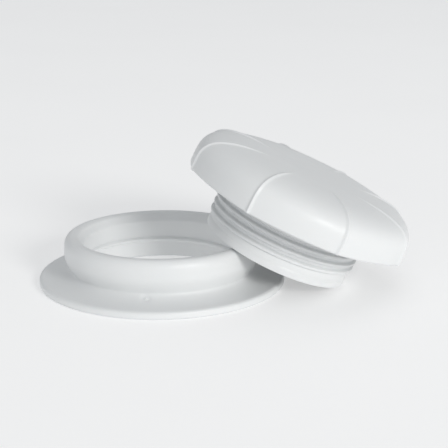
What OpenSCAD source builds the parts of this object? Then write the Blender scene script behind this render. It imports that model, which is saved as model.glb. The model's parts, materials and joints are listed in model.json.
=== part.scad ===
// Cable grommet with a screw-in closure: a flanged collar and a fluted, domed cap.
// The cap is off its collar: its skirt leans on the collar's mouth and on the desk.
// Origin: centre of the flange's underside. +Z runs up the collar, +X towards the cap.

/* [Base ring] */
// Diameter of the flange
flange_d = 79.5; // [75:0.5:88]
// Thickness of the flange at its edge
flange_t = 2.4; // [2:0.1:3]
// Height of the whole ring
ring_h = 15.4; // [15:0.1:16]
// Diameter of the collar's waist, between the flange's flare and the swelling below the band
waist_d = 59.4; // [58.6:0.1:60.4]
// Diameter of the band on the collar that locates it in a 63.5 mm hole
band_d = 63.2; // [62.6:0.1:64.2]
// Diameter of the plain bore that the cables pass through
bore_d = 50.4; // [50:0.1:51]

/* [Screw cap] */
// Diameter of the head across two opposite ridges
head_d = 76.6; // [74:0.2:82]
// Height of the head above its lower edge
head_h = 13; // [12:0.2:15]
// Number of flutes round the head
flutes = 8; // [6:1:10]
// How far the middle of a flute lies inside the ridges' circle
flute_depth = 1.4; // [0.8:0.1:1.8]
// Wall thickness of the head
head_wall = 2.2; // [1.8:0.1:2.6]
// Length of the threaded skirt below the head's lower edge
skirt_l = 15.6; // [15:0.2:16.4]
// Wall thickness of the skirt
skirt_wall = 2.6; // [2.2:0.1:2.8]

/* [Thread] */
// Rise of the thread in one turn
pitch = 2.5; // [2.2:0.1:3]
// Height of the thread above the skirt
thread_h = 1; // [0.8:0.05:1.1]
// Gap between the skirt's thread and the bore
thread_gap = 0.4; // [0.3:0.05:0.5]
// Turns of thread on the skirt
cap_turns = 4.5; // [3:0.5:4.5]
// Turns of thread in the bore
ring_turns = 1; // [0.75:0.25:1.25]

/* [Resting place of the cap] */
// Lean of the cap's axis from upright, towards +X
lean = 24.4; // [24:0.1:25]
// Turn of the cap about its own axis as it lies
cap_spin = 19; // [0:1:44]
// Gap that stays between the leaning cap and what it touches
rest_gap = 0.15; // [0.1:0.05:0.5]

/* [Hidden] */
$fn = 96;
plastic = "whitesmoke";
rubber = "darkgray";

flange_r = flange_d / 2;
waist_r = waist_d / 2;
band_r = band_d / 2;
bore_r = bore_d / 2;

// Ring's outline
edge_round = 0.7;              // rounding of the flange's upper edge
lip_r = 29.4;                  // radius of the mouth's highest circle
waist_z = 4.9;                 // where the flare runs out into the waist
flare_lift = 0.1;              // rise of the flare's outer end above the flange's edge
band_z = 9.8;                  // lower edge of the band
band_w = 2.4;
band_top = band_z + band_w;
mouth_bevel = 1.5;             // how much wider the bore is at the mouth
mouth_r = bore_r + mouth_bevel;
mouth_drop = 2.6;              // depth of the bevel below the mouth's highest circle
mouth_round = 1;
chamfer = 0.5;                 // at the lower end of the bore
arc_steps = 10;
lip_steps = 8;
edge_steps = 5;

// Cap's sizes
crest_r = bore_r - thread_gap;
skirt_r = crest_r - thread_h;
skirt_bore_r = skirt_r - skirt_wall;
lead_in_l = 2.2;               // length of the plain band at the skirt's lower end
lead_in_h = 0.3;               // how far this band stands out of the skirt
lead_in_r = skirt_r + lead_in_h;
thread_start_l = 0.5;          // bare skirt between this band and the thread
seat_z = 1.5;                  // level of the ribs' lower edges
rib_w = 1.6;
crown_t = 2.4;
hollow_step = 1;               // how much thicker the crown is inside the skirt
hollow_top = head_h - crown_t - hollow_step;
washer_t = 1.2;
washer_r = 31.5;
washer_gap = 0.1;              // free play of the washer round the skirt and under the ribs
overlap = 1;                   // how far solids run into each other, and cuts run out of them

head_r = head_d / 2;
dome_power = 4.5;              // 2 would give an ellipse, and more gives a flatter crown
dome_rows = 14;
dome_crowding = 1.35;          // draws the rows together towards the lower edge
pocket_rows = 12;              // rows of the pocket's own dome
pocket_rows_kept = 8;          // rows of it below the pocket's level ceiling
flute_cols = 6;

// Thread's cross-section, from its root to its crest
root_half = 0.95;
crest_half = 0.3;
end_height = 0.02;             // share of its height that a thread has at its very ends
fade_turn = 90;                // angle over which a thread grows to its full height
thread_steps = 36;
sink = 0.3;                    // how far a thread's root is buried in its wall
ring_thread_z = 4.6;           // middle of the bore's thread where it starts
ring_thread_start = -135;      // angle at which it starts

// Leaning pose: the outer edge of the skirt's end stands on the desk at one side, and the
// inner edge crosses the rolled top of the mouth at two places on the other.
touch_out = 0.6;               // how far outside the mouth's highest circle they touch
touch_drop = (ring_h - band_top) * (1 - sqrt(1 - pow(touch_out / (band_r - lip_r), 2)));
touch_r = lip_r + touch_out;
touch_z = ring_h - touch_drop + rest_gap;
skirt_mid_z = rest_gap + lead_in_r * sin(lean);
touch_cos = (touch_z - skirt_mid_z) / (skirt_bore_r * sin(lean));
touch_y = skirt_bore_r * sqrt(1 - pow(touch_cos, 2));
skirt_mid_x = sqrt(pow(touch_r, 2) - pow(touch_y, 2)) + skirt_bore_r * touch_cos * cos(lean);

function arc(cx, cz, rx, rz, a0, a1, n = arc_steps) =
    [for (i = [0:n]) let (a = a0 + (a1 - a0) * i / n) [cx + rx * cos(a), cz + rz * sin(a)]];

// The collar swells from its waist to its band along a quarter of a sine wave.
function swelling(n = arc_steps) =
    [for (i = [1:n - 1]) [waist_r + (band_r - waist_r) * sin(90 * i / n), waist_z + (band_z - waist_z) * i / n]];

function ring_outline() =
    let (edge_r = flange_r - edge_round, flare_h = waist_z - flange_t - flare_lift)
    concat(
        [[bore_r + chamfer, 0], [flange_r, 0]],
        arc(edge_r, flange_t - edge_round, edge_round, edge_round, 0, 90, edge_steps),
        arc(edge_r, waist_z, edge_r - waist_r, flare_h, 270, 180),
        swelling(),
        [[band_r, band_z]],
        arc(lip_r, band_top, band_r - lip_r, ring_h - band_top, 0, 90, lip_steps),
        arc(lip_r, ring_h - mouth_round, lip_r - mouth_r, mouth_round, 95, 180, edge_steps),
        [[bore_r, ring_h - mouth_drop], [bore_r, chamfer]]
    );

// A helical ridge. side is 1 for a ridge outside a cylinder and -1 for one inside a bore.
// Its height grows from almost nothing over the first quarter turn and dies away over the last.
function ramp(a, turns) = max(end_height, min(1, a / fade_turn, (turns * 360 - a) / fade_turn));
function ridge_section(a, turns, wall_r, side, height) =
    let (
        z = pitch * a / 360,
        rise = ramp(a, turns) * height,
        root = wall_r - side * sink,
        crest = wall_r + side * rise
    )
    [for (p = [[root, z - root_half], [root, z + root_half], [crest, z + crest_half], [crest, z - crest_half]])
        [p[0] * cos(a), p[0] * sin(a), p[1]]];

module helix(turns, wall_r, side, height) {
    last = round(turns * thread_steps);
    points = [for (i = [0:last]) each ridge_section(i * 360 / thread_steps, turns, wall_r, side, height)];
    sides = [for (i = [0:last - 1], j = [0:3])
        let (k = (j + 1) % 4, b = 4 * i)
        each [[b + j, b + k, b + 4 + k], [b + j, b + 4 + k, b + 4 + j]]];
    ends = [[3, 2, 1, 0], [for (j = [0:3]) 4 * last + j]];
    faces = concat(sides, ends);
    polyhedron(points, side > 0 ? [for (f = faces) reverse(f)] : faces, convexity = 10);
}
function reverse(v) = [for (i = [len(v) - 1:-1:0]) v[i]];

module base_ring() {
    color(plastic) {
        rotate_extrude() polygon(ring_outline());
        translate([0, 0, ring_thread_z])
            rotate([0, 0, ring_thread_start])
                helix(ring_turns, bore_r, -1, thread_h);
    }
}

// Radius of the head at an angle from the middle of a flute, on the ridges' circle of radius 1.
// Each flute is a flatter arc than the ridges' circle, so that two of them meet in a ridge.
half_flute = 180 / flutes;
flute_mid = 1 - flute_depth / head_r;
flute_arc_r = (pow(flute_mid, 2) - 2 * flute_mid * cos(half_flute) + 1) / (2 * (flute_mid - cos(half_flute)));
function flute_radius(a) =
    let (c = flute_arc_r - flute_mid)
    sqrt(pow(flute_arc_r, 2) - pow(c * sin(a), 2)) - c * cos(a);

// Dome outline as a superellipse: t runs from 0 at the lower edge to 1 at the crown.
function dome_r(t) = pow(cos(90 * t), 2 / dome_power);
function dome_z(t) = pow(sin(90 * t), 2 / dome_power);
function dome_t(i, n) = pow(i / n, dome_crowding);

module head_solid() {
    cols = flutes * flute_cols;
    step = 2 * half_flute / flute_cols;
    rows = [for (i = [0:dome_rows - 1], j = [0:cols - 1])
        let (
            a = step * j,
            from_mid = (a % (2 * half_flute)) - half_flute,
            r = head_r * dome_r(dome_t(i, dome_rows)) * flute_radius(from_mid)
        )
        [r * cos(a), r * sin(a), head_h * dome_z(dome_t(i, dome_rows))]];
    points = concat(rows, [[0, 0, head_h]]);
    walls = [for (i = [0:dome_rows - 2], j = [0:cols - 1])
        let (k = (j + 1) % cols, b = cols * i, u = cols * (i + 1))
        each [[b + j, u + k, b + k], [b + j, u + j, u + k]]];
    crown = [for (j = [0:cols - 1])
        [cols * (dome_rows - 1) + j, cols * dome_rows, cols * (dome_rows - 1) + (j + 1) % cols]];
    base = [for (j = [0:cols - 1]) j];
    polyhedron(points, concat(walls, crown, [base]), convexity = 4);
}

// Hollow between the skirt and the head's wall, left open below.
module head_pocket() {
    outer = head_r * flute_mid - head_wall;
    ceiling = (head_h - crown_t) * dome_z(pocket_rows_kept / pocket_rows);
    wall = [for (i = [0:pocket_rows_kept])
        let (t = i / pocket_rows) [outer * dome_r(t), (head_h - crown_t) * dome_z(t)]];
    outline = concat([[skirt_r, -overlap], [outer, -overlap]], wall, [[skirt_r, ceiling]]);
    difference() {
        rotate_extrude() polygon(outline);
        for (i = [0:flutes - 1])
            rotate([0, 0, i * 2 * half_flute])
                translate([skirt_bore_r, -rib_w / 2, seat_z])
                    cube([head_r, rib_w, head_h]);
    }
}

module skirt() {
    translate([0, 0, -skirt_l]) {
        cylinder(h = skirt_l + overlap, r = skirt_r);
        cylinder(h = lead_in_l, r = lead_in_r);
        translate([0, 0, lead_in_l + thread_start_l + root_half])
            helix(cap_turns, skirt_r, 1, thread_h);
    }
}

// The cap in its own frame: origin on its axis, level with the head's lower edge.
module cap_upright() {
    difference() {
        union() {
            difference() {
                head_solid();
                head_pocket();
            }
            skirt();
        }
        translate([0, 0, -skirt_l - overlap])
            cylinder(h = skirt_l + overlap + hollow_top, r = skirt_bore_r);
    }
}

module washer_upright() {
    translate([0, 0, seat_z - washer_gap - washer_t])
        difference() {
            cylinder(h = washer_t, r = washer_r);
            translate([0, 0, -overlap]) cylinder(h = washer_t + 2 * overlap, r = skirt_r + washer_gap);
        }
}

module leaning() {
    translate([skirt_mid_x, 0, skirt_mid_z])
        rotate([0, lean, 0])
            rotate([0, 0, cap_spin])
                translate([0, 0, skirt_l])
                    children();
}

module sealing_washer() {
    color(rubber) leaning() washer_upright();
}

module screw_cap() {
    color(plastic) leaning() cap_upright();
}

base_ring();
sealing_washer();
screw_cap();
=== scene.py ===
"""Desk grommet: the finished looks of its flanged collar, its washer and its fluted screw cap.

Each piece is a fine mesh turned about its own axis, in millimetres, and then set in the frame's metres.
"""

import json
import math

import bmesh
import bpy
import numpy as np
from mathutils import Matrix, Vector


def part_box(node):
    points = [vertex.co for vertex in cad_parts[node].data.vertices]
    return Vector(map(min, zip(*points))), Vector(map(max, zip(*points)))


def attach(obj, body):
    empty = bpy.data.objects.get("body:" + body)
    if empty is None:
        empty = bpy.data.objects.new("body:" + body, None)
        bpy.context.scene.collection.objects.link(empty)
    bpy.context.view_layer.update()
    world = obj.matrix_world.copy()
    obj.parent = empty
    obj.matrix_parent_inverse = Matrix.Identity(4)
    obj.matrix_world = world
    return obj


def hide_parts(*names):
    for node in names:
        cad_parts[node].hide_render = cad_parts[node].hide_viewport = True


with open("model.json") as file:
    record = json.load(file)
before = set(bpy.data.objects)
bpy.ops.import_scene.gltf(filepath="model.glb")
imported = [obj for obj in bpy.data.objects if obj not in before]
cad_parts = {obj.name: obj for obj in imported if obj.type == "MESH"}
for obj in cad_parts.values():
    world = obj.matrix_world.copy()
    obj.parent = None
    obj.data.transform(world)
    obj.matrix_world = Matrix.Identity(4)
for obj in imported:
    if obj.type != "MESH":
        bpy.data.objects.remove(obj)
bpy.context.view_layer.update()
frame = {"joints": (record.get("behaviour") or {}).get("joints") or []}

MM = 0.001

# ---- Sizes, in millimetres and degrees -------------------------------------------------------

# Collar: a flange, a flare up to the waist, a swelling up to the band, and a rolled mouth.
_, ring_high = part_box("base_ring")
FLANGE_R = ring_high.y / MM
RING_H = ring_high.z / MM
FLANGE_T = 2.4
FLANGE_EDGE = 0.7
FLARE_LIFT = 0.1
WAIST_R = 29.7
WAIST_Z = 4.9
BAND_R = 31.6
BAND_Z = 9.8
BAND_TOP = 12.2
LIP_R = 29.4
BORE_R = 25.2
MOUTH_R = 26.7
MOUTH_DROP = 2.6
MOUTH_ROUND = 1
RING_THREAD_Z = 4.6
RING_THREAD_START = -135
RING_TURNS = 1.0

# Screw cap: the ridges' circle lies outside the middles of the flutes.
RIDGE_R = 37.8
FLUTE_MID_R = 36.9
HEAD_H = 13.0
DOME_POWER = 4.5
HEAD_WALL = 2.2
RIB_H = 0.42
RIB_W = 0.5
RIM_ROUND = 0.8
INNER_R = FLUTE_MID_R - HEAD_WALL
FLUTES = 8
CAP_SPIN = 19.0
SEAT_Z = 1.5
SKIRT_L = 15.6
SKIRT_R = 23.8
SKIRT_BORE_R = 21.2
LEAD_IN_R = 24.1
LEAD_IN_L = 2.2
CROWN_T = 2.4
HOLLOW_STEP = 1
CAP_TURNS = 4.5

# Thread: the same ridge on the skirt and in the bore.
PITCH = 2.5
THREAD_H = 1.0
CREST_HALF = 0.3
ROOT_HALF = 0.95
FADE_TURNS = 0.25
THREAD_START_L = 0.5

WASHER_R = 31.5
WASHER_T = 1.2
WASHER_GAP = 0.1

SHARP_ANGLE = 40


# ---- Mesh helpers ----------------------------------------------------------------------------


def smoothstep(low, high, x):
    t = np.clip((x - low) / (high - low), 0, 1)
    return t * t * (3 - 2 * t)


def arc(centre_r, centre_z, half_r, half_z, start, end, steps):
    """Points on an ellipse, from one angle to another in degrees."""
    a = np.radians(np.linspace(start, end, steps))
    return np.stack([centre_r + half_r * np.cos(a), centre_z + half_z * np.sin(a)], axis=1)


def even(points, spacing):
    """The same open outline with points about one spacing apart along it."""
    points = np.asarray(points, float)
    step = np.linalg.norm(np.diff(points, axis=0), axis=1)
    along = np.concatenate([[0], np.cumsum(step)])
    count = max(2, int(round(along[-1] / spacing)) + 1)
    places = np.linspace(0, along[-1], count)
    return np.stack([np.interp(places, along, points[:, k]) for k in (0, 1)], axis=1)


def even_angles(count=480):
    return np.arange(count) * 2 * math.pi / count


def cap_angles(half_count=30):
    """Angles round the cap, drawn together near each ridge, where the surface bends most."""
    s = np.arange(-half_count, half_count) / half_count
    half_flute = math.pi / FLUTES
    even_share = 0.35
    near_ridge = half_flute * (even_share * s + (1 - even_share) * s**3)
    return np.concatenate([near_ridge + 2 * half_flute * i for i in range(FLUTES)])


def thread(z, angle, first_z, turns):
    """Height of a right-hand helical ridge, from 0 to 1, at a level and an angle round the axis."""
    turn = angle / (2 * math.pi)
    nearest = np.round((z - first_z) / PITCH - turn)
    along = turn + nearest
    off = np.abs(z - first_z - PITCH * along)
    shape = 1 - smoothstep(CREST_HALF, ROOT_HALF, off)
    return shape * smoothstep(0, FADE_TURNS, along) * smoothstep(0, FADE_TURNS, turns - along)


def turned(name, angle, radius, height, closed):
    """A mesh turned about Z.

    radius and height hold a row for each outline point and a column for each angle. A closed outline
    joins its last row to its first. An open one starts and ends on the axis.
    """
    rows, columns = radius.shape
    places = np.stack([radius * np.cos(angle), radius * np.sin(angle), height], axis=2)
    vertices = [tuple(p) for p in places.reshape(-1, 3)]
    faces = []
    for i in range(rows if closed else rows - 1):
        low = i * columns
        high = (i + 1) % rows * columns
        for j in range(columns):
            k = (j + 1) % columns
            faces.append((low + j, low + k, high + k, high + j))
    if not closed:
        vertices.append((0, 0, float(height[0].mean())))
        vertices.append((0, 0, float(height[-1].mean())))
        last = (rows - 1) * columns
        for j in range(columns):
            k = (j + 1) % columns
            faces.append((len(vertices) - 2, k, j))
            faces.append((len(vertices) - 1, last + j, last + k))
    mesh = bpy.data.meshes.new(name)
    mesh.from_pydata(vertices, [], faces)
    work = bmesh.new()
    work.from_mesh(mesh)
    bmesh.ops.recalc_face_normals(work, faces=work.faces)
    work.to_mesh(mesh)
    work.free()
    return mesh


def piece(name, mesh, place, body, material, node):
    """Sets a millimetre mesh in the frame, and lets it ride on a body in place of a CAD node."""
    mesh.transform(place @ Matrix.Scale(MM, 4))
    mesh.shade_smooth()
    mesh.set_sharp_from_angle(angle=math.radians(SHARP_ANGLE))
    mesh.materials.append(material)
    obj = bpy.data.objects.new(name, mesh)
    bpy.context.scene.collection.objects.link(obj)
    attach(obj, body)
    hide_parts(node)


# ---- Materials -------------------------------------------------------------------------------


def node_set(name):
    material = bpy.data.materials.new(name)
    material.use_nodes = True
    nodes = material.node_tree.nodes
    return material, nodes, material.node_tree.links, nodes["Principled BSDF"]


def noise(nodes, links, scale, detail, seed):
    """Noise in the object's own space, where a scale of 1000 gives features about a millimetre wide."""
    place = nodes.new("ShaderNodeTexCoord")
    shift = nodes.new("ShaderNodeVectorMath")
    shift.operation = "ADD"
    shift.inputs[1].default_value = (seed, seed * 0.7, seed * 0.3)
    texture = nodes.new("ShaderNodeTexNoise")
    texture.inputs["Scale"].default_value = scale
    texture.inputs["Detail"].default_value = detail
    links.new(place.outputs["Object"], shift.inputs[0])
    links.new(shift.outputs[0], texture.inputs["Vector"])
    return texture.outputs["Fac"]


def mapped(nodes, links, value, low, high, to_low, to_high):
    span = nodes.new("ShaderNodeMapRange")
    span.inputs["From Min"].default_value = low
    span.inputs["From Max"].default_value = high
    span.inputs["To Min"].default_value = to_low
    span.inputs["To Max"].default_value = to_high
    links.new(value, span.inputs["Value"])
    return span.outputs["Result"]


def mixed(nodes, links, factor, first, second):
    """A colour between two, each of them a colour or an output."""
    mix = nodes.new("ShaderNodeMix")
    mix.data_type = "RGBA"
    links.new(factor, mix.inputs["Factor"])
    for socket, colour in ((mix.inputs["A"], first), (mix.inputs["B"], second)):
        if isinstance(colour, tuple):
            socket.default_value = (*colour, 1)
        else:
            links.new(colour, socket)
    return mix.outputs["Result"]


def bumped(nodes, links, shader, height, strength, distance):
    bump = nodes.new("ShaderNodeBump")
    bump.inputs["Strength"].default_value = strength
    bump.inputs["Distance"].default_value = distance
    links.new(height, bump.inputs["Height"])
    links.new(bump.outputs["Normal"], shader.inputs["Normal"])


def moulded_plastic(name, seed):
    """Satin white moulding: faint flow marks, a fine grain, and a little painted shade in the tight
    corners.
    """
    material, nodes, links, shader = node_set(name)
    flow = noise(nodes, links, 60, 3, seed)
    clean = mixed(nodes, links, flow, (0.80, 0.815, 0.82), (0.845, 0.855, 0.855))
    # Painted shade: the colour turns grey where ambient occlusion finds tight corners, creases and thread
    # roots.
    corner = nodes.new("ShaderNodeAmbientOcclusion")
    corner.inputs["Distance"].default_value = 1.6 * MM
    corner.samples = 8
    painted_corner_shade = mapped(nodes, links, corner.outputs["AO"], 0.35, 0.8, 0.55, 0)
    colour = mixed(nodes, links, painted_corner_shade, clean, (0.66, 0.68, 0.695))
    links.new(colour, shader.inputs["Base Color"])
    patch = noise(nodes, links, 220, 4, seed + 3)
    links.new(mapped(nodes, links, patch, 0.3, 0.7, 0.36, 0.48), shader.inputs["Roughness"])
    shader.inputs["IOR"].default_value = 1.49
    shader.inputs["Subsurface Weight"].default_value = 0.12
    shader.inputs["Subsurface Radius"].default_value = (1.0, 0.95, 0.9)
    shader.inputs["Subsurface Scale"].default_value = 1.2 * MM
    grain = noise(nodes, links, 2600, 3, seed + 5)
    bumped(nodes, links, shader, grain, 0.25, 0.03 * MM)
    return material


def washer_rubber():
    """Soft grey rubber with a matt bloom."""
    material, nodes, links, shader = node_set("washer_rubber")
    bloom = noise(nodes, links, 300, 5, 11)
    colour = mixed(nodes, links, bloom, (0.20, 0.207, 0.214), (0.27, 0.278, 0.287))
    links.new(colour, shader.inputs["Base Color"])
    links.new(mapped(nodes, links, bloom, 0.3, 0.7, 0.6, 0.8), shader.inputs["Roughness"])
    bumped(nodes, links, shader, noise(nodes, links, 3000, 2, 17), 0.3, 0.05 * MM)
    return material


def floor_paint():
    """Pale matt floor with the faintest mottle. A little glow keeps it pale under a low key light."""
    material, nodes, links, shader = node_set("floor_paint")
    mottle = noise(nodes, links, 8, 3, 23)
    paint = mixed(nodes, links, mottle, (0.80, 0.80, 0.80), (0.82, 0.82, 0.82))
    links.new(paint, shader.inputs["Base Color"])
    links.new(paint, shader.inputs["Emission Color"])
    shader.inputs["Emission Strength"].default_value = 0.40
    shader.inputs["Roughness"].default_value = 0.9
    shader.inputs["Specular IOR Level"].default_value = 0.1
    return material


# ---- Base ring -------------------------------------------------------------------------------


def ring_outline():
    """Outline of the collar, from the bore's foot out over the flange and up to the mouth."""
    foot = 0.3
    bore_foot = 0.5
    edge = FLANGE_EDGE
    edge_r = FLANGE_R - edge
    flare_h = WAIST_Z - FLANGE_T - FLARE_LIFT
    t = np.linspace(0, 1, 24)[1:-1]
    swelling_r = WAIST_R + (BAND_R - WAIST_R) * np.sin(t * math.pi / 2)
    swelling_z = WAIST_Z + (BAND_Z - WAIST_Z) * t
    parts = [
        arc(BORE_R + bore_foot, bore_foot, bore_foot, bore_foot, 180, 270, 5),
        arc(FLANGE_R - foot, foot, foot, foot, 270, 360, 5),
        arc(edge_r, FLANGE_T - edge, edge, edge, 0, 90, 9),
        arc(edge_r, WAIST_Z, edge_r - WAIST_R, flare_h, 270, 180, 40),
        np.stack([swelling_r, swelling_z], axis=1),
        [[BAND_R, BAND_Z]],
        arc(LIP_R, BAND_TOP, BAND_R - LIP_R, RING_H - BAND_TOP, 0, 90, 24),
        arc(LIP_R, RING_H - MOUTH_ROUND, LIP_R - MOUTH_R, MOUTH_ROUND, 93, 180, 14),
        [[BORE_R, RING_H - MOUTH_DROP]],
        [[BORE_R, bore_foot]],
    ]
    return np.concatenate(parts)


def rounded(points, passes):
    """The same closed outline with its corners eased, a little more at each pass."""
    for _ in range(passes):
        points = 0.5 * points + 0.25 * (np.roll(points, 1, axis=0) + np.roll(points, -1, axis=0))
    return points


def ring_mesh():
    outline = rounded(even(ring_outline(), 0.25), 2)
    angle = even_angles()
    radius, height = plain_rows(outline, angle)
    bore = radius < BORE_R + 0.05
    turn = (angle - math.radians(RING_THREAD_START)) % (2 * math.pi)
    ridge = THREAD_H * thread(height, turn[None, :], RING_THREAD_Z, RING_TURNS)
    radius = np.where(bore, radius - ridge, radius)
    depth = gate_mark(outline, angle)
    inward = outline_normals(outline)
    radius = radius + depth * inward[:, :1]
    height = height + depth * inward[:, 1:]
    return turned("base_ring_moulding", angle, radius, height, closed=True)


def gate_mark(outline, angle):
    """Depth of the trimmed gate on the flare: a shallow dimple with a nub left in its middle."""
    mark_r = 31.2
    mark_z = 4.0
    mark_angle = math.radians(-94)
    dimple_h = 0.6
    dimple_w = 1.2
    nub_h = 0.9
    nub_w = 0.55
    mark_row = int(np.argmin(np.abs(outline[:, 0] - mark_r) + np.abs(outline[:, 1] - mark_z)))
    step = np.linalg.norm(np.diff(outline, axis=0, append=outline[:1]), axis=1)
    along = np.cumsum(step)
    down = (along - along[mark_row])[:, None]
    across = mark_r * ((angle - mark_angle + math.pi) % (2 * math.pi) - math.pi)[None, :]
    off = np.hypot(across, down)
    return dimple_h * np.exp(-((off / dimple_w) ** 2)) - nub_h * np.exp(-((off / nub_w) ** 2))


# ---- Screw cap -------------------------------------------------------------------------------


def from_ridge(angle):
    """Angle from the nearest ridge between two flutes, in radians."""
    span = 2 * math.pi / FLUTES
    return (angle + span / 2) % span - span / 2


def flute_scale(angle):
    """Radius of the head at an angle, as a share of the ridges' radius.

    Each flute is a flatter arc than the ridges' circle, so that two of them meet in a ridge.
    """
    mid = FLUTE_MID_R / RIDGE_R
    half = math.pi / FLUTES
    bow = (mid**2 - 2 * mid * math.cos(half) + 1) / (2 * (mid - math.cos(half)))
    across = half - np.abs(from_ridge(angle))
    back = bow - mid
    return np.sqrt(bow**2 - (back * np.sin(across)) ** 2) - back * np.cos(across)


def dome_outline():
    """Superellipse from the crown down to the wall's lower edge."""
    t = np.radians(np.linspace(90, 0, 1200))
    power = 2 / DOME_POWER
    points = np.stack([RIDGE_R * np.cos(t) ** power, HEAD_H * np.sin(t) ** power], axis=1)
    points = points[(points[:, 1] > RIM_ROUND) & (points[:, 0] > 0.6)]
    return even(points, 0.45)


def outline_normals(points):
    along = np.gradient(points, axis=0)
    normal = np.stack([-along[:, 1], along[:, 0]], axis=1)
    return normal / np.linalg.norm(normal, axis=1)[:, None]


def head_rows(angle):
    """The fluted outside of the head, row by row. A fine rib crowns each ridge and fades on the dome."""
    points = dome_outline()
    normal = outline_normals(points)
    off = np.abs(from_ridge(angle))[None, :] * points[:, :1]
    rib = RIB_H * np.exp(-((off / RIB_W) ** 2)) * smoothstep(14, 27, points[:, :1])
    radius = points[:, :1] * flute_scale(angle)[None, :] + rib * normal[:, :1]
    height = points[:, 1:] + rib * normal[:, 1:]
    return radius, height


def plain_rows(points, angle):
    radius = np.repeat(points[:, :1], len(angle), axis=1)
    return radius, np.repeat(points[:, 1:], len(angle), axis=1)


def rim_rows(wall, angle):
    """The head's lower edge, rounded from the fluted wall to the smooth inside."""
    inner_round = 0.5
    turn = np.radians(np.linspace(10, 90, 8))[:, None]
    outer_r = wall[None, :] - RIM_ROUND * (1 - np.cos(turn))
    outer_z = (RIM_ROUND * (1 - np.sin(turn))).repeat(len(angle), axis=1)
    inner = arc(INNER_R + inner_round, inner_round, inner_round, inner_round, 270, 180, 6)
    inner_r, inner_z = plain_rows(inner, angle)
    return np.concatenate([outer_r, inner_r]), np.concatenate([outer_z, inner_z])


def pocket_rows(angle):
    """The hollow under the head, crossed by a rib under each ridge."""
    ceiling = HEAD_H - CROWN_T - 0.6
    outer_round = 3
    root_round = 1
    points = np.concatenate(
        [
            [[INNER_R, 0.7]],
            arc(INNER_R - outer_round, ceiling - outer_round, outer_round, outer_round, 0, 90, 10),
            arc(SKIRT_R + root_round, ceiling - root_round, root_round, root_round, 90, 180, 6),
            [[SKIRT_R, 0.2]],
        ]
    )
    radius, height = plain_rows(even(points, 0.6), angle)
    rib_half = math.radians(1.5)
    at_rib = np.abs(from_ridge(angle)) < rib_half
    height = np.where(at_rib[None, :], np.minimum(height, SEAT_Z), height)
    return radius, height


def skirt_rows(angle):
    """The threaded outside of the skirt, its plain lead-in and its hollow."""
    lip_top = LEAD_IN_L - SKIRT_L
    bevel = LEAD_IN_R - SKIRT_R
    row_step = 0.125
    z = np.arange(0, lip_top + bevel, -row_step)
    wall = np.stack([np.full_like(z, SKIRT_R), z], axis=1)
    radius, height = plain_rows(wall, angle)
    first_z = lip_top + THREAD_START_L + ROOT_HALF
    turn = angle % (2 * math.pi)
    radius = radius + THREAD_H * thread(height, turn[None, :], first_z, CAP_TURNS)
    ceiling = HEAD_H - CROWN_T - HOLLOW_STEP
    outer_round = 0.35
    inner_round = 0.3
    top_round = 1.5
    end = np.concatenate(
        [
            [[SKIRT_R, lip_top + bevel]],
            [[LEAD_IN_R, lip_top]],
            arc(LEAD_IN_R - outer_round, outer_round - SKIRT_L, outer_round, outer_round, 0, -90, 6),
            arc(SKIRT_BORE_R + inner_round, inner_round - SKIRT_L, inner_round, inner_round, 270, 180, 6),
            arc(SKIRT_BORE_R - top_round, ceiling - top_round, top_round, top_round, 0, 90, 8),
            [[0.6, ceiling]],
        ]
    )
    end_radius, end_height = plain_rows(even(end, 0.5), angle)
    return np.concatenate([radius, end_radius]), np.concatenate([height, end_height])


def cap_mesh():
    angle = cap_angles()
    head = head_rows(angle)
    parts = [head, rim_rows(head[0][-1], angle), pocket_rows(angle), skirt_rows(angle)]
    radius = np.concatenate([p[0] for p in parts])
    height = np.concatenate([p[1] for p in parts])
    return turned("screw_cap_moulding", angle, radius, height, closed=False)


def washer_mesh():
    top = SEAT_Z - WASHER_GAP
    low = top - WASHER_T
    round_r = 0.3
    inner = SKIRT_R + WASHER_GAP
    points = np.concatenate(
        [
            arc(WASHER_R - round_r, low + round_r, round_r, round_r, 270, 360, 6),
            arc(WASHER_R - round_r, top - round_r, round_r, round_r, 0, 90, 6),
            arc(inner + round_r, top - round_r, round_r, round_r, 90, 180, 6),
            arc(inner + round_r, low + round_r, round_r, round_r, 180, 270, 6),
        ]
    )
    angle = even_angles(240)
    radius, height = plain_rows(points, angle)
    return turned("washer_ring", angle, radius, height, closed=True)


# ---- Putting it together ---------------------------------------------------------------------


def cap_place():
    """The cap's own frame: its origin is level with the head's lower edge, on its axis."""
    joint = next(j for j in frame["joints"] if j["name"] == "cap_turn")
    axis = Vector(joint["axis"]).normalized()
    lean = math.atan2(axis.x, axis.z)
    turn = Matrix.Rotation(lean, 4, "Y") @ Matrix.Rotation(math.radians(CAP_SPIN), 4, "Z")
    return Matrix.Translation(Vector(joint["pos_m"])) @ turn


def build_object():
    stand = Matrix.Identity(4)
    lean = cap_place()
    ring_plastic = moulded_plastic("ring_plastic", 2.0)
    cap_plastic = moulded_plastic("cap_plastic", 9.0)
    rubber = washer_rubber()
    piece("collar_moulding", ring_mesh(), stand, "collar", ring_plastic, "base_ring")
    piece("cap_moulding", cap_mesh(), lean, "cap", cap_plastic, "screw_cap")
    piece("rubber_washer", washer_mesh(), lean, "washer", rubber, "sealing_washer")


# ---- Stage -----------------------------------------------------------------------------------


def build_floor():
    mesh = bpy.data.meshes.new("floor")
    half = 4.0
    drop = -0.05 * MM
    corners = ((-half, -half), (half, -half), (half, half), (-half, half))
    mesh.from_pydata([(x, y, drop) for x, y in corners], [], [(0, 1, 2, 3)])
    mesh.materials.append(floor_paint())
    floor = bpy.data.objects.new("floor", mesh)
    bpy.context.scene.collection.objects.link(floor)


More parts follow.
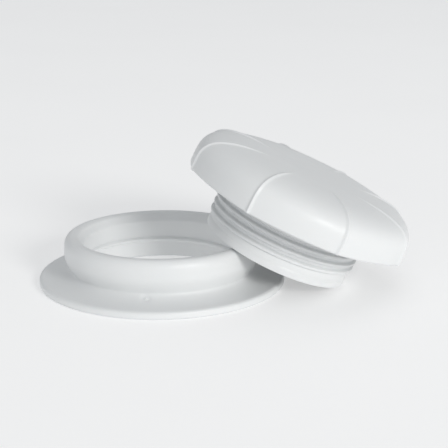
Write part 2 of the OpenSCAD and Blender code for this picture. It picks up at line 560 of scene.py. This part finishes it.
def area_light(name, place, aim, width, power, colour):
    data = bpy.data.lights.new(name, "AREA")
    data.shape = "DISK"
    data.size = width
    data.energy = power
    data.color = colour
    light = bpy.data.objects.new(name, data)
    light.location = place
    light.rotation_euler = (Vector(aim) - Vector(place)).to_track_quat("-Z", "Y").to_euler()
    bpy.context.scene.collection.objects.link(light)


def build_world():
    """Even sky light. The camera itself sees the backdrop at the floor's own paleness."""
    world = bpy.data.worlds.new("studio")
    world.use_nodes = True
    nodes = world.node_tree.nodes
    links = world.node_tree.links
    sky = nodes["Background"]
    sky.inputs["Color"].default_value = (0.96, 0.98, 1.0, 1)
    sky.inputs["Strength"].default_value = 0.53
    backdrop = nodes.new("ShaderNodeBackground")
    backdrop.inputs["Color"].default_value = (0.85, 0.85, 0.85, 1)
    path = nodes.new("ShaderNodeLightPath")
    mix = nodes.new("ShaderNodeMixShader")
    links.new(path.outputs["Is Camera Ray"], mix.inputs["Fac"])
    links.new(sky.outputs["Background"], mix.inputs[1])
    links.new(backdrop.outputs["Background"], mix.inputs[2])
    links.new(mix.outputs["Shader"], nodes["World Output"].inputs["Surface"])
    bpy.context.scene.world = world


def build_lights():
    """One soft key light, far off in front to the right and about 20 degrees up."""
    middle = (0.02, 0, 0.02)
    area_light("key", (1.15, -1.60, 0.72), middle, width=0.55, power=17.5, colour=(1.0, 0.99, 0.97))


def build_camera():
    """A long lens held low, a little to the right of square on to the collar and its leaning cap."""
    azimuth = math.radians(2.4)
    elevation = math.radians(15.23)
    distance = 0.3551
    to_right = Matrix.Rotation(azimuth, 3, "Z")
    aim = to_right @ Vector((0.0200, 0, 0.0184))
    away = to_right @ Vector((0, -math.cos(elevation), math.sin(elevation)))
    data = bpy.data.cameras.new("camera")
    data.sensor_width = 36
    data.lens = 88.393
    camera = bpy.data.objects.new("camera", data)
    camera.location = aim + away * distance
    camera.rotation_euler = (-away).to_track_quat("-Z", "Y").to_euler()
    bpy.context.scene.collection.objects.link(camera)
    bpy.context.scene.camera = camera


build_object()
build_floor()
build_world()
build_lights()
build_camera()
bpy.context.scene.view_settings.view_transform = "Standard"
bpy.context.view_layer.update()
